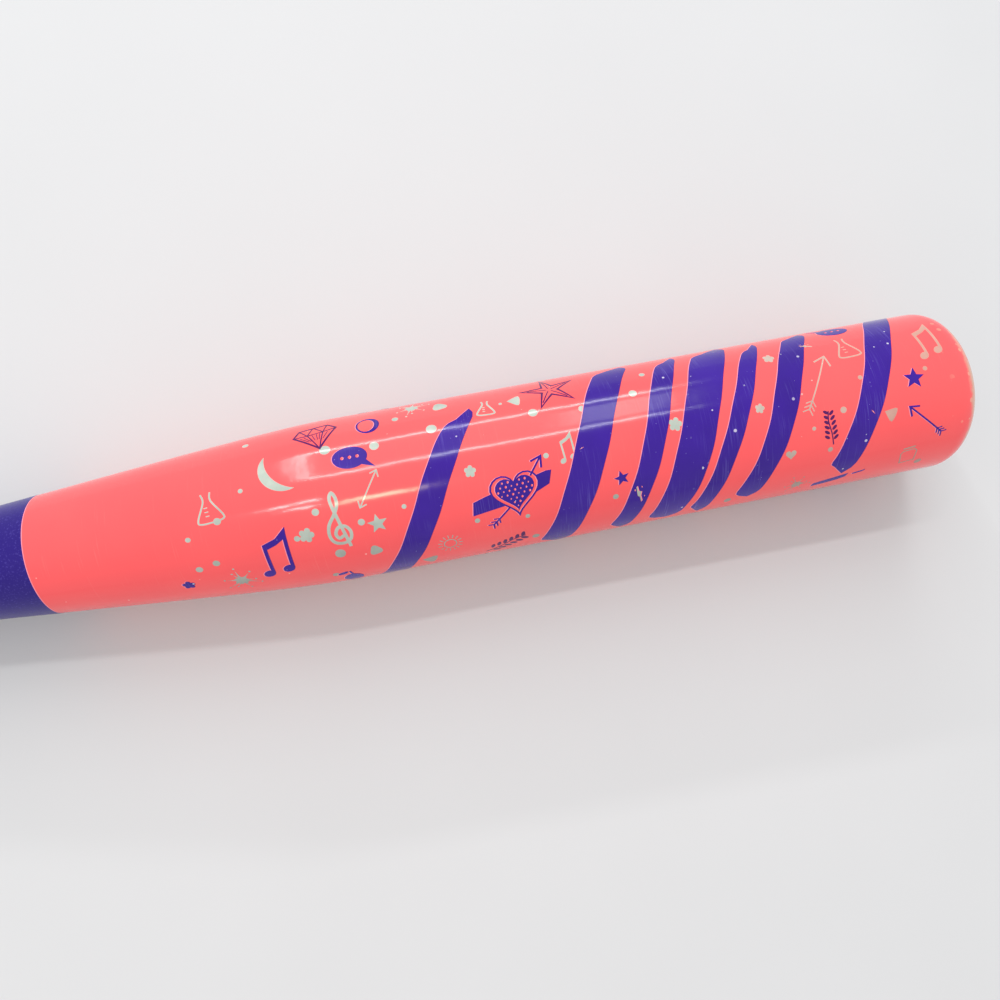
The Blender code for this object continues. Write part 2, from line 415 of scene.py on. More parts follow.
def weld_look():
    look = Look("weld_metal", Metallic=1.0)
    cloud = look.noise(look.scaled(700), detail=4)
    look.drive("Base Color", look.mix(cloud, (0.30, 0.30, 0.31), (0.46, 0.45, 0.44)))
    look.roughen(cloud, 0.38, 0.58)
    return look.material


def film_look(name, low, high):
    look = Look(name, Coat_Weight=0.6, Coat_Roughness=0.1)
    look.drive("Base Color", look.mix(look.noise(look.scaled(400), detail=3), low, high))
    dimple = look.noise(look.scaled(2200))
    look.roughen(dimple, 0.28, 0.40)
    look.drive("Normal", look.bump(dimple, 0.00002, 0.4))
    return look.material


def sticker_look():
    """A blank round label with a printed rim."""
    look = Look("sticker_film", Coat_Weight=0.6, Coat_Roughness=0.1)
    far = look.hypotenuse(look.part(1), look.math("SUBTRACT", look.part(2), AXIS_Z))
    paper = look.mix(look.noise(look.scaled(600), detail=3), (0.58, 0.62, 0.57), (0.68, 0.71, 0.66))
    off = look.math("ABSOLUTE", look.math("SUBTRACT", far, 0.0093))
    paper = look.mix(look.math("LESS_THAN", off, 0.0006), paper, (0.05, 0.03, 0.28))
    look.drive("Base Color", paper)
    look.roughen(look.noise(look.scaled(900)), 0.30, 0.42)
    return look.material


def leather_look():
    """Perforated synthetic leather. The holes run in rows along the strip, so they follow the wrap."""
    look = Look("grip_leather")
    turn = look.math("DIVIDE", look.angle(), -math.tau)
    across = look.math("ADD", look.part(0), look.math("MULTIPLY", turn, WRAP_PITCH))
    rows = look.math("MULTIPLY", across, 6 / WRAP_PITCH)
    shift = look.math("MULTIPLY", look.math("FLOORED_MODULO", look.math("FLOOR", rows), 2), 0.5)
    u = look.math("SUBTRACT", look.math("FRACT", rows), 0.5)
    around = look.math("ADD", look.math("MULTIPLY", turn, 18), shift)
    w = look.math("SUBTRACT", look.math("FRACT", around), 0.5)
    hole = look.ramp(look.hypotenuse(u, w), 0.12, 0.17, 1.0, 0.0)
    grain = look.cells(look.scaled(1300))
    tone = look.mix(look.noise(look.scaled(90), detail=3), (0.012, 0.012, 0.014), (0.026, 0.025, 0.028))
    tone = look.tint(tone, look.ramp(grain, 0.1, 0.7), 0.5, (0.045, 0.044, 0.048))
    # The holes are coloured near black: painted shade inside them
    look.drive("Base Color", look.mix(hole, tone, (0.002, 0.002, 0.002)))
    look.drive("Roughness", look.ramp(grain, 0.0, 0.8, 0.48, 0.68))
    pits = look.bump(look.math("SUBTRACT", 1.0, hole), 0.0004)
    look.drive("Normal", look.bump(grain, 0.00012, 0.8, pits))
    return look.material


def vinyl_look():
    """Ribbed finishing tape."""
    look = Look("end_tape_vinyl")
    ribs = look.math("SINE", look.math("MULTIPLY", look.part(0), 7000))
    cloud = look.noise(look.scaled(200), detail=3)
    look.drive("Base Color", look.mix(cloud, (0.010, 0.010, 0.011), (0.022, 0.022, 0.024)))
    look.roughen(cloud, 0.30, 0.42)
    look.drive("Normal", look.bump(ribs, 0.00003, 0.6))
    return look.material


# ---- drawing


class Pen:
    """Draws in one ink about a place of the artwork. Its x runs towards the barrel's end and its y towards
    positive v, in millimetres before size and turn (in degrees) are applied."""

    def __init__(self, ink, s=0.0, v=0.0, size=1.0, turn=0.0):
        self.ink, self.s, self.v, self.size = ink, s, v, size
        self.cos, self.sin = math.cos(math.radians(turn)), math.sin(math.radians(turn))

    def laid(self, loop):
        turned = [(x * self.cos - y * self.sin, x * self.sin + y * self.cos) for x, y in loop]
        return [(self.s - self.size * x, self.v + self.size * y) for x, y in turned]

    def fill(self, *loops):
        self.ink.append(([self.laid(loop) for loop in loops], True))

    def clear(self, *loops):
        self.ink.append(([self.laid(loop) for loop in loops], False))

    def line(self, points, width, closed=False):
        """A stroke along the points. Its width is not scaled with the pen."""
        half = width / 2 / self.size
        left, right = [], []
        for i, here in enumerate(points):
            before = points[i - 1] if closed or i else here
            after = points[(i + 1) % len(points)] if closed or i < len(points) - 1 else here
            a = Vector((here[0] - before[0], here[1] - before[1])).normalized()
            b = Vector((after[0] - here[0], after[1] - here[1])).normalized()
            way = (a + b).normalized()
            bend = max(0.5, way.dot(a), way.dot(b)) if a.length and b.length else 1.0
            left.append((here[0] - way.y * half / bend, here[1] + way.x * half / bend))
            right.append((here[0] + way.y * half / bend, here[1] - way.x * half / bend))
        if closed:
            self.fill(left, right[::-1])
        else:
            self.fill(left + right[::-1])


def oval(cx, cy, rx, ry, count=20, tilt=0.0):
    c, s = math.cos(math.radians(tilt)), math.sin(math.radians(tilt))
    ring = [(rx * math.cos(math.tau * i / count), ry * math.sin(math.tau * i / count)) for i in range(count)]
    return [(cx + x * c - y * s, cy + x * s + y * c) for x, y in ring]


def wavy(count, waves, depth, phase=0.0):
    """A ring of radius 1 with waves."""
    turns = [math.tau * i / count for i in range(count)]
    radii = [1 + depth * math.cos(waves * a + phase) for a in turns]
    return [(r * math.cos(a), r * math.sin(a)) for r, a in zip(radii, turns)]


def smooth(points, steps=5):
    """A curve through the points."""
    ends = [points[0], *points, points[-1]]

    def between(a, b, c, d, t):
        square, cube = 2 * a - 5 * b + 4 * c - d, 3 * b - a - 3 * c + d
        return 0.5 * (2 * b + (c - a) * t + square * t * t + cube * t**3)

    path = []
    for quad in zip(ends, ends[1:], ends[2:], ends[3:]):
        path += [tuple(between(*way, i / steps) for way in zip(*quad)) for i in range(steps)]
    return path + [points[-1]]


def star_points(outer, inner):
    radii = [outer, inner] * 5
    turns = [math.pi / 2 + math.pi * i / 5 for i in range(10)]
    return [(r * math.cos(a), r * math.sin(a)) for r, a in zip(radii, turns)]


def heart_points(half_width, count=36):
    turns = [math.tau * i / count for i in range(count)]
    heights = [13 * math.cos(a) - 5 * math.cos(2 * a) - 2 * math.cos(3 * a) - math.cos(4 * a) for a in turns]
    return [(half_width * math.sin(a) ** 3, half_width * h / 16) for a, h in zip(turns, heights)]


def dot(pen):
    pen.fill(oval(0, 0, 1, 1, 18))


def blob(pen):
    pen.fill(wavy(26, 3, 0.14, 0.8))


def flower(pen):
    pen.fill(oval(0, 0, 0.7, 0.7, 14))
    for i in range(5):
        a = math.tau * i / 5
        pen.fill(oval(0.68 * math.cos(a), 0.68 * math.sin(a), 0.42, 0.46, 14))


def star(pen):
    pen.fill(star_points(1.15, 0.5))


def small_heart(pen):
    pen.fill(heart_points(1.0, 24))


def wedge(pen):
    pen.fill(smooth([(-1.1, 0.5), (0.9, 1.0), (0.2, -1.1), (-1.1, 0.5)], 4)[:-1])


def gem(pen):
    rim, top, tip = 7.6, (-5.0, 5.0), (0, -6.6)
    pen.line([(-rim, 2.4), (top[0], 6.0), (top[1], 6.0), (rim, 2.4), tip], 0.70, closed=True)
    pen.line([(-rim, 2.4), (-2.8, 1.7), (2.8, 1.7), (rim, 2.4)], 0.46)
    for x in (-2.8, 2.8):
        pen.line([(x * 1.8, 6.0), (x, 1.7), tip], 0.46)
        pen.line([(0, 6.0), (x, 1.7)], 0.46)
    for x in (-5.4, -4.1, -1.2, 0.4, 1.6, 4.4):
        pen.line([(x, 1.2), (x * 0.5, -2.0)], 0.30)


def ring_moon(pen):
    pen.fill(oval(0, 0, 4.1, 4.4, 36))
    pen.clear(oval(-0.55, 0.1, 3.0, 3.6, 32))


def crescent(pen):
    pen.fill(arc(0, 0, 8.3, 103, 257, 26) + arc(6.6, 0, 11.7, 223, 137, 24))


def flask(pen):
    half = [(1.5, 5.2), (1.2, 2.2), (3.9, -3.2), (3.5, -4.7)]
    body = [(-x, y) for x, y in half] + [(0, -5.0)] + half[::-1]
    pen.line(smooth(body, 4), 0.6)
    for y in (-2.6, -1.2, 0.2):
        pen.line([(-1.4, y), (-0.2, y)], 0.35)


def bubble(pen):
    pen.fill(oval(0, 0, 6.0, 4.2, 36))
    pen.fill([(2.2, -2.8), (5.2, -1.6), (8.2, -5.0)])
    for x in (-2.6, 0, 2.6):
        pen.clear(oval(x, 0, 0.65, 0.65, 12))


def notes(pen):
    """Two joined quavers."""
    for x, y in ((-3.7, -7.2), (3.0, -5.8)):
        pen.fill(oval(x, y, 2.0, 1.6, 18, 25))
    bold = 1.15 * pen.size
    pen.line([(-2.3, -7.0), (-2.6, 4.6)], bold)
    pen.line([(4.4, -5.6), (4.5, 9.0)], bold)
    pen.fill([(-3.1, 2.9), (-3.2, 5.2), (1.4, 6.9), (5.2, 10.4), (5.0, 7.0), (1.2, 4.6)])


def clef(pen):
    """A curl of music: the line winds out of its middle, loops over the top and drops to a dot."""
    curl = [
        (0.4, -4.4), (-1.3, -4.9), (-1.9, -3.1), (-0.5, -1.2), (1.7, -1.4), (2.9, -3.6), (2.1, -6.2),
        (-0.4, -7.1), (-3.1, -6.0), (-4.0, -3.2), (-3.1, 0.2), (-0.7, 3.0), (1.1, 5.6), (1.5, 8.2),
        (0.7, 10.2), (-0.4, 8.8), (-0.4, 6.0), (0.4, 0.0), (1.1, -6.0), (1.3, -9.0),
    ]
    pen.line(smooth(curl, 4), 1.1 * pen.size)


def arrow(pen):
    """An arrow 20 mm long, pointing up."""
    pen.line([(0, -10), (0, 10)], 0.5)
    pen.line([(-2.6, 6.6), (0, 10), (2.6, 6.6)], 0.6)
    for y in (-9.6, -8.2, -6.8):
        pen.line([(-1.7, y - 1.5), (0, y), (1.7, y - 1.5)], 0.38)


def dart(pen):
    """A plain arrow 14 mm long with a head at each end, pointing up."""
    pen.line([(0, -7), (0, 7)], 0.45)
    for y in (7, -7):
        pen.line([(-1.6, y * 0.72), (0, y), (1.6, y * 0.72)], 0.45)


def dash(pen):
    """A short broad stroke of a brush."""
    top = [(-14.5, -3.4), (-13.2, 1.2), (-9.0, 1.9), (0, 2.7), (12.6, 3.9)]
    pen.fill(top + [(14.3, 3.6), (12.4, -0.6), (6, -2.4), (-4, -3.3)])


def pierced_heart(pen):
    """A spotted heart with a line round it and an arrow through it."""
    pen.clear(heart_points(8.3))
    pen.line(heart_points(8.1), 0.5, closed=True)
    pen.fill([(x, y + 0.2) for x, y in heart_points(6.5)])
    rows = [(row * 1.45 + 0.7, 0.95 * (row % 2)) for row in range(-5, 5)]
    spots = [(column * 1.9 + shift, y) for y, shift in rows for column in range(-4, 4)]
    inside = within([heart_points(5.9)], *np.array(spots).T)
    for i, (x, y) in enumerate(spots):
        if inside[i]:
            pen.clear(oval(x, y + 0.2, 0.30 + 0.07 * (i % 3), 0.30 + 0.07 * (i % 3), 10))
    pen.line([(-9.3, -10.4), (-2.9, -5.0)], 0.5)
    pen.line([(5.8, 4.2), (10.4, 9.6)], 0.5)
    pen.line([(6.9, 8.7), (10.5, 9.7), (9.9, 5.9)], 0.6)
    for k in (0.0, 1.1, 2.2):
        x, y = -9.2 + k, -10.2 + k * 0.9
        pen.line([(x - 1.8, y + 0.2), (x, y), (x + 0.1, y - 1.9)], 0.42)


def sprig(pen):
    pen.line(smooth([(0.8, -7), (0.4, -2), (-0.4, 3), (0.2, 7)], 4), 0.4)
    for i in range(6):
        y, reach = -4.4 + 2.0 * i, 1.9 - 0.14 * i
        pen.fill(oval(0.3 - reach, y + 1.1, 1.25, 0.62, 12, -38))
        pen.fill(oval(0.1 + reach, y + 0.5, 1.25, 0.62, 12, 38))


def sun(pen):
    pen.line(oval(0, 0, 2.1, 2.1, 24), 0.35, closed=True)
    for i in range(15):
        a = math.tau * i / 15
        pen.line([(2.8 * math.cos(a), 2.8 * math.sin(a)), (4.2 * math.cos(a), 4.2 * math.sin(a))], 0.3)


def splash(pen):
    pen.fill([(2.1 * x, 2.1 * y) for x, y in wavy(36, 7, 0.16)])
    for i in range(9):
        a, reach = math.tau * (i + 0.25 * (i % 3)) / 9, 3.8 + 0.9 * (i % 3)
        x, y = math.cos(a), math.sin(a)
        root = [(1.6 * x - k * y, 1.6 * y + k * x) for k in (0.3, -0.3)]
        pen.fill([root[0], (reach * x, reach * y), root[1]])
        pen.fill(oval(x * (reach + 0.6), y * (reach + 0.6), 0.35, 0.35, 10))


def starfish(pen):
    pen.line(star_points(10.0, 3.0), 0.80, closed=True)
    for x, y in star_points(7.6, 0)[::2]:
        pen.line([(x * 0.12, y * 0.12), (x, y)], 0.40)


def berry(pen):
    pen.fill(oval(0, 0, 3.2, 3.6, 24, 15))
    pen.line([(0.3, 3.0), (-0.6, 6.0)], 0.6)
    pen.fill(oval(-2.9, 5.2, 1.9, 0.8, 14, 20))


def jar(pen):
    pen.line([(-2.8, -4), (-3.2, 1.6), (-2.2, 2.8), (2.2, 2.8), (3.2, 1.6), (2.8, -4)], 0.45, closed=True)
    pen.line([(-2.4, 4.0), (2.4, 4.0)], 0.7)


def chip(pen, knock_out):
    """A ragged flake, either knocked out of the ink or filled in under it."""
    flake = [(-0.9, 3.2), (-0.1, 3.6), (0.1, 1.0), (1.1, 0.6), (0.5, -1.2), (0.7, -3.8), (-0.1, -4.4)]
    flake += [(-0.3, -1.6), (-1.0, -0.9)]
    crumbs = oval(-1.5, 2.0, 0.35, 0.5, 8), oval(1.3, 2.6, 0.3, 0.4, 8), oval(1.6, -1.8, 0.25, 0.4, 8)
    for loop in (flake, *crumbs):
        if knock_out:
            pen.clear(loop)
        else:
            pen.fill([(x * 1.3, y * 1.1) for x, y in loop])


def slash(pen, top, bottom, width, seed):
    """A bold brush stroke from top to bottom, both (s, v), with uneven edges and rough ends."""
    lots = random.Random(seed)
    phase = [lots.uniform(0, math.tau) for _ in range(6)]
    count = 40
    left, right = [], []
    for i in range(count + 1):
        t = i / count
        s = top[0] + (bottom[0] - top[0]) * t + 1.2 * math.sin(math.pi * t + phase[4] * 0.2)
        v = top[1] + (bottom[1] - top[1]) * t
        end = min(1.0, 0.50 + 0.5 * math.sqrt(t / 0.045), 0.40 + 0.6 * math.sqrt((1 - t) / 0.04))
        half = width / 2 * end * (1.04 - 0.10 * t)
        wave = [0.14 * math.sin(11 * t + p) + 0.09 * math.sin(29 * t + 2 * p) for p in phase[:2]]
        lean = (1.9 + 0.5 * math.sin(phase[2])) * (1 - t) ** 10 - (1.2 + math.sin(phase[3])) * t**12
        left.append((-(s + half + wave[0]), v - lean))
        right.append((-(s - half + wave[1]), v + lean))
    pen.fill(left + right[::-1])


# ---- artwork

SLASHES = [
    ((176, 23), (212, -44), 9.5), ((121, 36), (154, -38), 11.5), ((101, 35), (131, -36), 7.5),
    ((85, 37), (115, -35), 12.5), ((72, 33), (102, -34), 6.5), ((54, 36), (86, -30), 9.0),
    ((18.5, 46), (51.5, -25), 9.5), ((150, 128), (184, 56), 12.0), ((120, 122), (150, 58), 7.5),
    ((96, 128), (128, 54), 10.5), ((62, 124), (92, 60), 8.5), ((28, 130), (62, 58), 11.0),
]

# Flakes knocked out of the purple, down to the pale
CHIPS = [(123.2, -17.5, 0.9, 8), (55.5, 26.0, 0.55, 60), (41.0, -4.0, 0.25, 30), (140.8, 2.0, 0.2, 100)]

PURPLE_MARKS = [
    (ring_moon, 208.4, 26.2, 0.95), (bubble, 215.4, 13.4, 0.95), (notes, 245, -15.8, 1.0),
    (flower, 275.6, -23.6, 1.9, 20), (berry, 223, -35, 1.0), (dash, 165.6, -8.6, 1.0, 8),
    (pierced_heart, 164.6, -8.2, 1.0, 3), (star, 129, -10.4, 2.3, 12), (star, 25, 4.6, 3.2, -8),
    (bubble, 41.6, 33.6, 0.9, 180), (arrow, 22, -10.3, 0.82, 47), (dash, 53, -30.6, 0.45, 8),
    (dash, 43, -28.4, 0.16, 8),
]

# Line art, whose ink is thin enough to look maroon
FINE_MARKS = [
    (gem, 225.6, 25.2, 0.95, 10), (starfish, 146, 27.8, 0.98, 9), (sprig, 56.3, -7, 0.85, 4),
    (sprig, 170, -31, 1.15, -62),
]

PALE_MARKS = [
    (crescent, 237, 14.5, 1.0, 33), (flask, 262.3, 5.6, 1.05, 6), (dot, 260.2, 0.4, 1.25),
    (dot, 251.4, 9.2, 0.8), (dart, 211.2, 1.8, 0.95, -33), (flower, 233.4, -9.6, 2.3),
    (dot, 236.6, -10.2, 1.0), (clef, 222.6, -7.6, 1.0, 6), (dot, 224.4, -18.6, 1.75),
    (star, 210.4, -10, 3.0, 4), (dot, 215.4, -8.5, 1.15), (dot, 229, -2.5, 1.2), (dot, 223, 17.9, 1.8),
    (dot, 207, 16, 1.6), (blob, 213, -20.2, 2.0), (dot, 201, -6, 0.8), (dot, 270.6, -4.2, 0.9),
    (dot, 270, -16.4, 1.2), (dot, 264, -14.7, 1.2), (splash, 258.4, -24.7, 1.05), (dot, 228.2, -29.8, 1.2),
    (dot, 249.6, 29.6, 1.1), (dot, 187.7, 18.6, 1.8), (dot, 199, 26.8, 1.1), (splash, 193, 33, 1.0, 30),
    (blob, 183.6, 30, 2.4), (flower, 178, 1.2, 1.8, 10), (sun, 188.5, -24, 1.0), (wedge, 196, -32.5, 2.6),
    (flask, 168.7, 24, 0.72, -4), (dot, 163.4, 24.6, 0.6), (wedge, 158.4, 24.6, 2.3, 10),
    (dot, 153.7, 17.6, 1.6), (dot, 152.7, 1.7, 0.9), (notes, 145.7, 2.8, 0.52, 4), (dot, 146, -8.7, 1.1),
    (dot, 178.4, -16, 0.9), (dot, 161.6, -18, 0.8), (dot, 159.2, -29.6, 1.3), (dot, 137.5, 15.6, 1.2),
    (dot, 119.4, 18, 1.4), (dot, 131.4, -17, 1.0), (flower, 108.5, 4, 2.1), (dot, 113.6, 26.6, 1.0),
    (blob, 108.7, -29, 2.4), (dot, 90.4, -31, 1.3), (flower, 79.4, 4, 1.5), (dot, 96.4, 12, 0.8),
    (flower, 70, 22.6, 1.8), (small_heart, 70.2, -13.7, 1.9), (arrow, 57.4, 9.6, 1.08, -31),
    (dot, 51.2, -1.6, 1.1), (dot, 62, -6, 0.7), (splash, 65.6, -29, 0.8, 15), (flask, 43, 21.4, 0.95, 2),
    (wedge, 34.7, -6.2, 2.2, -10), (notes, 15.8, 17.8, 0.82, 2), (jar, 26, -24, 0.9, 8),
    (dot, 20.6, -29, 1.3), (dot, 20.2, 7.2, 0.8), (dot, 30, 24.8, 1.0), (dot, 43, 8.2, 0.8),
    (dot, 56.2, -14.6, 0.9),
]

# What is scattered over the back: the ink, the mark, its size and the radius that it takes
BACK_MARKS = [
    ("fine", gem, 1.0, 9), ("purple", notes, 0.9, 11), ("purple", flower, 2.2, 4), ("purple", star, 2.8, 5),
    ("fine", starfish, 0.9, 10), ("fine", sprig, 0.9, 8), ("purple", ring_moon, 0.9, 5),
    ("purple", bubble, 0.9, 8), ("pale", crescent, 0.9, 8), ("pale", clef, 0.9, 10), ("pale", flask, 1.0, 6),
    ("pale", splash, 1.0, 6), ("pale", star, 2.8, 4), ("pale", flower, 2.2, 4), ("pale", sun, 1.0, 5),
    ("pale", small_heart, 2.2, 4), ("pale", arrow, 0.9, 9), ("pale", notes, 0.6, 7), ("pale", dot, 1.5, 3),
    ("pale", blob, 2.0, 4),
]


def scatter(inks, count):
    """Places small marks over the back of the barrel, clear of each other and of the strokes."""
    lots = random.Random(4)
    taken = []
    for (s0, v0), (s1, v1), width in SLASHES:
        if v1 > 45:
            taken += [(s0 + (s1 - s0) * k / 20, v0 + (v1 - v0) * k / 20, width / 2 + 1) for k in range(21)]
    fillers = [("pale", dot, 1.1, 2)] * count
    for ink, mark, size, room in (BACK_MARKS * 2 + fillers)[:count]:
        for _ in range(60):
            s, v = lots.uniform(14, 285), lots.uniform(47, 133)
            if all(math.hypot(s - a, v - b) > room + r for a, b, r in taken):
                mark(Pen(inks[ink], s, v, size * lots.uniform(0.85, 1.1), lots.uniform(-25, 25)))
                taken.append((s, v, room))
                break


def artwork():
    inks = {"purple": [], "fine": [], "pale": []}
    drawn = Pen(inks["purple"])
    for seed, (top, bottom, width) in enumerate(SLASHES):
        slash(drawn, top, bottom, width, seed)
    for s, v, size, turn in CHIPS:
        chip(Pen(inks["purple"], s, v, size, turn), True)
        chip(Pen(inks["pale"], s, v, size, turn), False)
    for mark, *place in PURPLE_MARKS:
        mark(Pen(inks["purple"], *place))
    for mark, *place in FINE_MARKS:
        mark(Pen(inks["fine"], *place))
    for mark, *place in PALE_MARKS:
        mark(Pen(inks["pale"], *place))
    scatter(inks, count=130)
    return inks


# ---- printed layers


def cut_fine(loop):
    """The loop with points added, so that none of its edges is long enough to dip into the round shell."""
    fine = []
    for (s0, v0), (s1, v1) in zip(loop, loop[1:] + loop[:1]):
        parts = max(1, math.ceil(math.hypot(s1 - s0, v1 - v0) / EDGE))
        fine += [(s0 + (s1 - s0) * i / parts, v0 + (v1 - v0) * i / parts) for i in range(parts)]
    return fine


def within(loops, x, y):
    """Which of the points the loops wind round. A loop that runs the other way makes a hole."""
    winding = np.zeros(len(x), int)
    for loop in loops:
        px, py = np.array(loop, float).T
        for x0, y0, x1, y1 in zip(px, py, np.roll(px, -1), np.roll(py, -1)):
            if y0 != y1:
                crossed = ((y0 > y) != (y1 > y)) & (x < (x1 - x0) * (y - y0) / (y1 - y0) + x0)
                winding += np.where(crossed, 1 if y1 > y0 else -1, 0)
    return winding != 0


def inked(marks, x, y):
    """Which of the points are inked once every mark is made in turn."""
    found = np.zeros(len(x), bool)
    for loops, keep in marks:
        low, high = np.min(np.concatenate(loops), axis=0), np.max(np.concatenate(loops), axis=0)
        near = np.nonzero((x >= low[0]) & (x <= high[0]) & (y >= low[1]) & (y <= high[1]))[0]
        found[near[within(loops, x[near], y[near])]] = keep
    return found


def flat_print(marks):
    """The marks' (s, v) points and triangles."""
    points, edges = [], []
    for loops, _ in marks:
        for loop in map(cut_fine, loops):
            first, count = len(points), len(loop)
            points += loop
            edges += [(first + i, first + (i + 1) % count) for i in range(count)]
    low, high = np.min(points, axis=0), np.max(points, axis=0)
    s, v = np.meshgrid(np.arange(low[0], high[0], GRID), np.arange(low[1], high[1], GRID))
    s, v = s.ravel() + 0.013, v.ravel() + 0.017
    inside = inked(marks, s, v)
    points += list(zip(s[inside], v[inside]))
    verts, _, faces, *_ = delaunay_2d_cdt([Vector(p) for p in points], edges, [], 0, 1e-4)
    verts, faces = np.array([tuple(v) for v in verts]), np.array(faces)
    middle = verts[faces].mean(axis=1)
    used, faces = np.unique(faces[inked(marks, *middle.T)], return_inverse=True)
    return verts[used], faces.reshape(-1, 3)


def moved(loop, shift):
    return [(s + shift[0], v + shift[1]) for s, v in loop]


def print_layer(name, marks, lift, material, shift=(0.0, 0.0)):
    """One print as a closed film on the shell, lift metres thick, shifted by (s, v) millimetres."""
    verts, faces = flat_print([([moved(loop, shift) for loop in loops], keep) for loops, keep in marks])
    top, normal = skin(*verts.T, lift)
    under, _ = skin(*verts.T, -SUNK)
    sides = {(int(a), int(b)) for face in faces for a, b in zip(face, np.roll(face, -1))}
    rim = sorted((a, b) for a, b in sides if (b, a) not in sides)
    count = len(verts)
    polygons = faces[:, ::-1].tolist() + (faces + count).tolist()
    polygons += [(a, b, b + count, a + count) for a, b in rim]
    mesh = bpy.data.meshes.new(name)
    mesh.from_pydata(np.concatenate([top, under]).tolist(), [], polygons)
    mesh.update()
    corners = np.empty(len(mesh.loops), np.int32)
    mesh.loops.foreach_get("vertex_index", corners)
    normals = np.concatenate([normal, -normal])[corners]
    flat = np.empty(3 * len(mesh.polygons), np.float32)
    mesh.polygons.foreach_get("normal", flat)
    normals[6 * len(faces):] = np.repeat(flat.reshape(-1, 3)[2 * len(faces):], 4, axis=0)
    mesh.shade_smooth()
    mesh.normals_split_custom_set(normals.tolist())
    return link(name, mesh, material)


def underprint_look(name):
    return edge_look(name, (0.92, 0.24, 0.31), (1.0, 0.32, 0.38))


def make_prints():
    inks = artwork()
    light = underprint_look("underprint")
    dark = edge_look("overprint", (0.16, 0.010, 0.08), (0.24, 0.016, 0.11))
    fine = edge_look("fine_ink", (0.070, 0.003, 0.085), (0.105, 0.007, 0.110))
    print_layer("pale_print", inks["pale"], PALE_LIFT, pale_look())
    print_layer("fine_print", inks["fine"], UNDERPRINT_LIFT, fine)
    print_layer("purple_underprint", inks["purple"], UNDERPRINT_LIFT, light, (0.30, 0.04))
    print_layer("purple_overprint", inks["purple"], OVERPRINT_LIFT, dark, (-0.14, -0.02))
    print_layer("purple_print", inks["purple"], PURPLE_LIFT, purple_look())


# ---- turned pieces


def lifted(start, end, lift, count=60):
    """(x, radius) points lift above the shell, from world x start to end."""
    x = np.linspace(start, end, count)
    return list(zip(x, radius_at((SHELL_END - x) / MM) + lift))


def sleeve(start, end, low, high, count=60):
    """The outline of a thin layer over the shell between two world x, from low to high above it."""
    return lifted(start, end, low, count) + lifted(start, end, high, count)[::-1]


def make_shell():
    corner = (SHELL_END - CORNER_R, BARREL_R - CORNER_R)
    reach, radius = taper_curve(70)
    wall = np.interp(reach, (TAPER_REACH[0], TAPER_REACH[3]), (BARREL_WALL, HANDLE_WALL))
    taper = [(SHELL_END - s * MM, r) for s, r in zip(reach, radius)]
    straight = [(x, BARREL_R) for x in np.linspace(taper[0][0], corner[0], 12)[1:-1]]
    outside = [(SHELL_LOW.x, HANDLE_R), *taper[::-1], *straight, *arc(*corner, CORNER_R, 90, 0, 20)]
    lip = [(SHELL_END, OPENING_R), (SHELL_END - BARREL_WALL, OPENING_R)]
    inside = arc(*corner, CORNER_R - BARREL_WALL, 0, 90, 10)
    inside += [(x, r - w) for (x, r), w in zip(taper[::3], wall[::3])]
    inside.append((SHELL_LOW.x, HANDLE_R - HANDLE_WALL))
    lathe("barrel_tube", outside + lip + inside, coral_look(), "barrel_paint", "barrel_shell", steps=256)


def make_handle_paint():
    edge = SHELL_END - PAINT_EDGE * MM
    start = KNOB_HIGH.x + GAP
    paint = sleeve(start, edge, -SUNK, 0.05 * MM)
    lathe("handle_paint", paint, satin_look("handle_paint"), "barrel_paint", steps=256)
    under = sleeve(edge - MM, edge + 0.3 * MM, -SUNK, PALE_LIFT, 6)
    lathe("handle_underprint", under, underprint_look("handle_underprint"), "barrel_paint", steps=256)


def make_end_cap():
    """A moulded rubber cap: a dished face with three ridges, a flange, and a barb behind the shell's lip."""
    face, dish = CAP_HIGH.x, CAP_HIGH.x - 1.2 * MM
    flange = SHELL_END + GAP
    neck = OPENING_R - GAP
    barb = SHELL_END - BARREL_WALL - GAP
    skirt, hollow = 18.6 * MM, 16.4 * MM
    outline = [(dish - 0.5 * MM, 0.0), (dish - 0.5 * MM, 1.4 * MM), (dish, 1.9 * MM)]
    for radius in (5.0 * MM, 8.0 * MM, 11.0 * MM):
        ridge = arc(dish, radius, 0.45 * MM, 270, 450, 8)
        outline += [(dish, radius - 0.6 * MM), *ridge, (dish, radius + 0.6 * MM)]
    outline += [(dish, 13.3 * MM), (face - 0.2 * MM, 14.3 * MM), (face, 14.7 * MM)]
    outline += arc(face - 0.8 * MM, CAP_R - 0.8 * MM, 0.8 * MM, 0, 90, 8)
    outline += [(flange, CAP_R), (flange, neck), (barb, neck), (barb, CAP_R), (barb - 3 * MM, skirt)]
    outline += [(CAP_LOW.x, skirt), (CAP_LOW.x, hollow), (barb - 2.2 * MM, hollow), (barb - 2.2 * MM, 0.0)]
    rubber = rubber_look("cap_rubber", (0.020, 0.012, 0.10), (0.035, 0.020, 0.15), 0.55)
    lathe("end_cap_moulded", outline, rubber, "cap_rubber", "end_cap", crease=50)


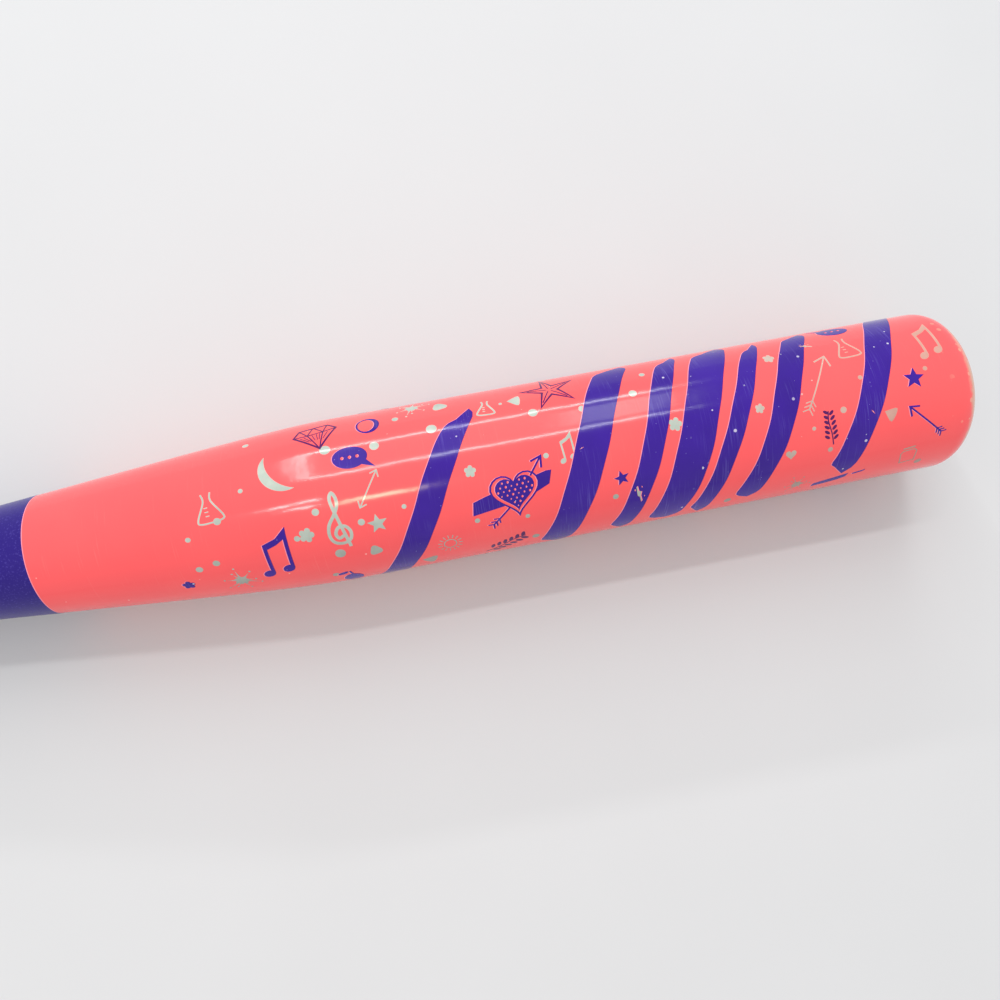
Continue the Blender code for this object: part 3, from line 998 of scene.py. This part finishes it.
def make_knob():
    face, back = KNOB_LOW.x, KNOB_HIGH.x
    thickest, rounding = face + KNOB_BULGE, 6.0 * MM
    flat = KNOB_R - rounding
    rim = [(face + KNOB_BULGE * (1 + x), flat + rounding * y) for x, y in arc(0, 0, 1.0, 180, 90, 20)]
    flare = []
    for i in range(1, 31):
        t = i / 30
        radius = KNOB_R - (KNOB_R - KNOB_WAIST_R) * t * t * (3 - 2 * t)
        flare.append((thickest + (back - thickest) * t, radius))
    bore, pocket, recess = HANDLE_R + GAP, PLUG_R + GAP, face + 2.4 * MM
    lip = arc(face + 0.5 * MM, pocket + 0.5 * MM, 0.5 * MM, 270, 180, 5)
    outline = [*lip, *rim, *flare, (back, bore), (recess, bore), (recess, pocket)]
    lathe("knob_turned", outline, satin_look("knob_paint"), "knob_paint", "knob")


def make_weld():
    """The bead's ripples follow the torch round."""
    start, inner, leg = KNOB_HIGH.x + GAP, HANDLE_R + GAP, 1.4 * MM
    face = [(start + leg * t, inner + leg * (1 - t * t) * 0.95) for t in (0.25, 0.5, 0.75, 0.95)]
    outline = [(start, inner), (start, inner + leg * 0.8), *face, (start + leg, inner)]

    def ripple(x, radius, angle):
        swell = MM * max(0.0, radius - inner) / leg
        wave = 34 * angle
        return x + 0.08 * swell * math.sin(wave), radius + 0.10 * swell * math.sin(wave + 1.0)

    settings = dict(steps=360, crease=60, shape=ripple)
    lathe("knob_weld_rippled", outline, weld_look(), "weld_metal", "knob_weld_bead", **settings)


def make_plug():
    """The plug in the knob's recess and the round label in the plug's pocket."""
    face = KNOB_FACE + 0.3 * MM
    pocket, back = face + 0.7 * MM, KNOB_FACE + 2.1 * MM
    stem, end = 7.2 * MM, KNOB_FACE + 15.1 * MM
    side, round_over = LABEL_R + GAP, 0.4 * MM
    outline = [(pocket, 0.0), (pocket, side), (face + 0.2 * MM, side), (face, side + 0.2 * MM)]
    outline += [(face, PLUG_R - round_over)]
    outline += [*arc(face + round_over, PLUG_R - round_over, round_over, 180, 90, 5), (back, PLUG_R)]
    outline += [(back, stem), (end - 1.8 * MM, stem), (end, 5.4 * MM), (end, 0.0)]
    rubber = rubber_look("plug_rubber", (0.012, 0.012, 0.014), (0.022, 0.022, 0.024), 0.55)
    lathe("knob_plug_moulded", outline, rubber, "cap_rubber", "knob_plug")
    under = face + 0.4 * MM
    label = [(face, 0.0), (face, LABEL_R - 0.1 * MM), (face + 0.1 * MM, LABEL_R)]
    label += [(under, LABEL_R), (under, 0.0)]
    lathe("knob_label", label, sticker_look(), "film", "knob_sticker")


# ---- grip


def make_wrap():
    """The grip is one strip wound round the handle. Each turn overlaps the one before, so its edge stands
    proud and faces the knob."""
    per_turn, across = 96, 14
    first = GRIP_LOW.x - WRAP_PITCH
    rows = (math.ceil((GRIP_HIGH.x - first) / WRAP_PITCH) + 1) * per_turn
    n, j = np.meshgrid(np.arange(rows + 1), np.arange(across + 1), indexing="ij")
    u = j / across
    x = first + WRAP_PITCH * (n / per_turn + u)
    proud = np.clip(1 - u / 0.30, 0, 1) ** 1.6 - 0.35 * np.clip(1 - u / 0.07, 0, 1) ** 2
    sag = 0.05 * MM * np.sin(n * 0.37) * np.sin(math.pi * u)
    radius = radius_at((SHELL_END - x) / MM) + WRAP_LIFT + WRAP_STEP * proud + sag
    angle = math.tau * n / per_turn
    verts = np.stack([x, radius * np.sin(angle), AXIS_Z + radius * np.cos(angle)], axis=-1).reshape(-1, 3)
    wide = across + 1
    faces = []
    for row in range(rows):
        for k in range(across):
            a = row * wide + k
            faces.append((a, a + 1, a + wide + 1, a + wide))
        if row + per_turn < rows:
            a, b = row * wide + across, (row + per_turn) * wide
            faces.append((a, b, b + wide, a + wide))
    mesh = bpy.data.meshes.new("grip_wound")
    mesh.from_pydata(verts.tolist(), [], faces)
    made = bmesh.new()
    made.from_mesh(mesh)
    for plane, way in ((GRIP_LOW.x, -1), (GRIP_HIGH.x, 1)):
        cut = dict(plane_co=(plane, 0, 0), plane_no=(way, 0, 0), clear_outer=True)
        bmesh.ops.bisect_plane(made, geom=made.verts[:] + made.edges[:] + made.faces[:], **cut)
    bmesh.ops.recalc_face_normals(made, faces=made.faces)
    bmesh.ops.solidify(made, geom=made.faces[:], thickness=WRAP_THICKNESS)
    bmesh.ops.recalc_face_normals(made, faces=made.faces)
    made.to_mesh(mesh)
    made.free()
    mesh.shade_smooth()
    mesh.set_sharp_from_angle(angle=math.radians(50))
    link("grip_wound", mesh, leather_look(), "grip_wrap")


def make_end_tape():
    """Tape over the grip's end that drapes down on to the handle."""
    edge = GRIP_HIGH.x
    on_wrap = WRAP_LIFT + WRAP_STEP
    inside = lifted(TAPE_LOW.x, edge + GAP, on_wrap, 12) + lifted(edge + 1.4 * MM, TAPE_HIGH.x, GAP, 12)
    outside = lifted(TAPE_LOW.x + 0.15 * MM, edge + 0.2 * MM, on_wrap + 0.45 * MM, 12)
    outside += lifted(edge + 2.6 * MM, TAPE_HIGH.x - 0.15 * MM, GAP + 0.45 * MM, 12)

    def ruck(x, radius, angle):
        """The tape's edges and its surface wander a little."""
        far = (x - (TAPE_LOW.x + TAPE_HIGH.x) / 2) / (TAPE_HIGH.x - TAPE_LOW.x)
        drift = 0.25 * MM * far * math.sin(2 * angle + 1)
        return x + drift, radius + 0.03 * MM * math.sin(7 * angle + 400 * x)

    outline = inside + outside[::-1]
    lathe("grip_finishing_tape", outline, vinyl_look(), "tape", "grip_end_tape", crease=50, shape=ruck)


def finish_hidden_nodes():
    """The CAD nodes that stay as they are get looks of their own."""
    looks = {
        "end_cap_adhesive": film_look("adhesive", (0.50, 0.47, 0.38), (0.60, 0.56, 0.46)),
        "grip_underlay_tape": film_look("underlay_film", (0.22, 0.22, 0.21), (0.29, 0.29, 0.27)),
    }
    for node, material in looks.items():
        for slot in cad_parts[node].material_slots:
            slot.material = material


# ---- stage


def make_camera():
    camera = new_object("camera", bpy.data.cameras.new("camera"))
    camera.data.sensor_width = SENSOR
    camera.data.lens = CAMERA_LENS
    camera.data.clip_start = 0.01
    x, y, z = (math.radians(turn) for turn in CAMERA_TURNS)
    turned = Matrix.Rotation(x, 3, "X") @ Matrix.Rotation(y, 3, "Y") @ Matrix.Rotation(z, 3, "Z")
    basis = Matrix((ALONG, UP, OUT)).transposed() @ turned.transposed()
    place = on_axis(CAMERA_S) + OUT * CAMERA_DISTANCE
    camera.matrix_world = Matrix.Translation(place) @ basis.to_4x4()
    bpy.context.scene.camera = camera


def make_floor():
    """A pale floor that touches both the barrel and the thinner knob, so it is tilted a little."""
    knob_r = (KNOB_HIGH.z - KNOB_LOW.z) / 2
    knob_x = KNOB_LOW.x + KNOB_BULGE
    barrel_x = SHELL_END - TAPER_REACH[0] * MM
    rise = math.atan2(BARREL_R - knob_r, barrel_x - knob_x)
    side = 15.0
    mesh = bpy.data.meshes.new("floor")
    corners = [(-side, -side, 0), (side, -side, 0), (side, side, 0), (-side, side, 0)]
    mesh.from_pydata(corners, [], [(0, 1, 2, 3)])
    floor = new_object("floor", mesh)
    place = Matrix.Translation((barrel_x, 0, AXIS_Z - BARREL_R - 0.1 * MM))
    floor.matrix_world = place @ Matrix.Rotation(rise, 4, "Y")
    look = Look("floor")
    tone = look.noise(look.scaled(9), detail=4)
    look.drive("Base Color", look.mix(tone, (0.60, 0.605, 0.61), (0.64, 0.645, 0.65)))
    look.roughen(tone, 0.75, 0.85)
    mesh.materials.append(look.material)


def panel(name, s, tilt, distance, length, width, radiance, colour=(1.0, 1.0, 1.0)):
    """A lamp that faces the bat from distance metres, tilt degrees from the camera's side towards +Y. It is
    centred beside s, and its length runs along the bat."""
    light = bpy.data.lights.new(name, "AREA")
    light.shape = "RECTANGLE"
    light.size = length
    light.size_y = width
    light.energy = radiance * math.pi * length * width
    light.color = colour
    lamp = new_object(name, light)
    way = OUT * math.cos(math.radians(tilt)) + UP * math.sin(math.radians(tilt))
    lamp.location = on_axis(s) + way * distance
    lamp.rotation_euler = (-way).to_track_quat("-Z", "Y").to_euler()


def make_lights():
    panel("tube_low", 87, 73.7, 2.1, 1.25, 0.07, 30)
    panel("tube_high", 87, 35.8, 2.1, 1.25, 0.07, 30)
    panel("tube_end", 705, 54.75, 1.986, 0.06, 1.3, 22)
    panel("key", 87, 54, 2.15, 1.25, 1.15, 0.7)
    panel("window", -366, 54, 2.12, 0.33, 0.9, 4.5)
    panel("warm", 282, -4.2, 1.0, 0.11, 0.08, 36, (1.0, 0.76, 0.50))
    panel("spark_left", 553, 4.7, 1.0, 0.06, 0.015, 110)
    panel("spark_middle", 490, -1.7, 1.0, 0.06, 0.015, 110)
    panel("spark_right", 459, 5.3, 1.0, 0.06, 0.015, 110)
    world = bpy.data.worlds.new("studio")
    world.use_nodes = True
    sky = world.node_tree.nodes["Background"].inputs
    sky["Color"].default_value = (0.86, 0.88, 0.91, 1)
    sky["Strength"].default_value = 0.85
    bpy.context.scene.world = world
    bpy.context.scene.view_settings.view_transform = "Standard"


make_camera()
make_floor()
make_lights()
make_shell()
make_prints()
make_handle_paint()
make_end_cap()
make_knob()
make_weld()
make_plug()
make_wrap()
make_end_tape()
finish_hidden_nodes()
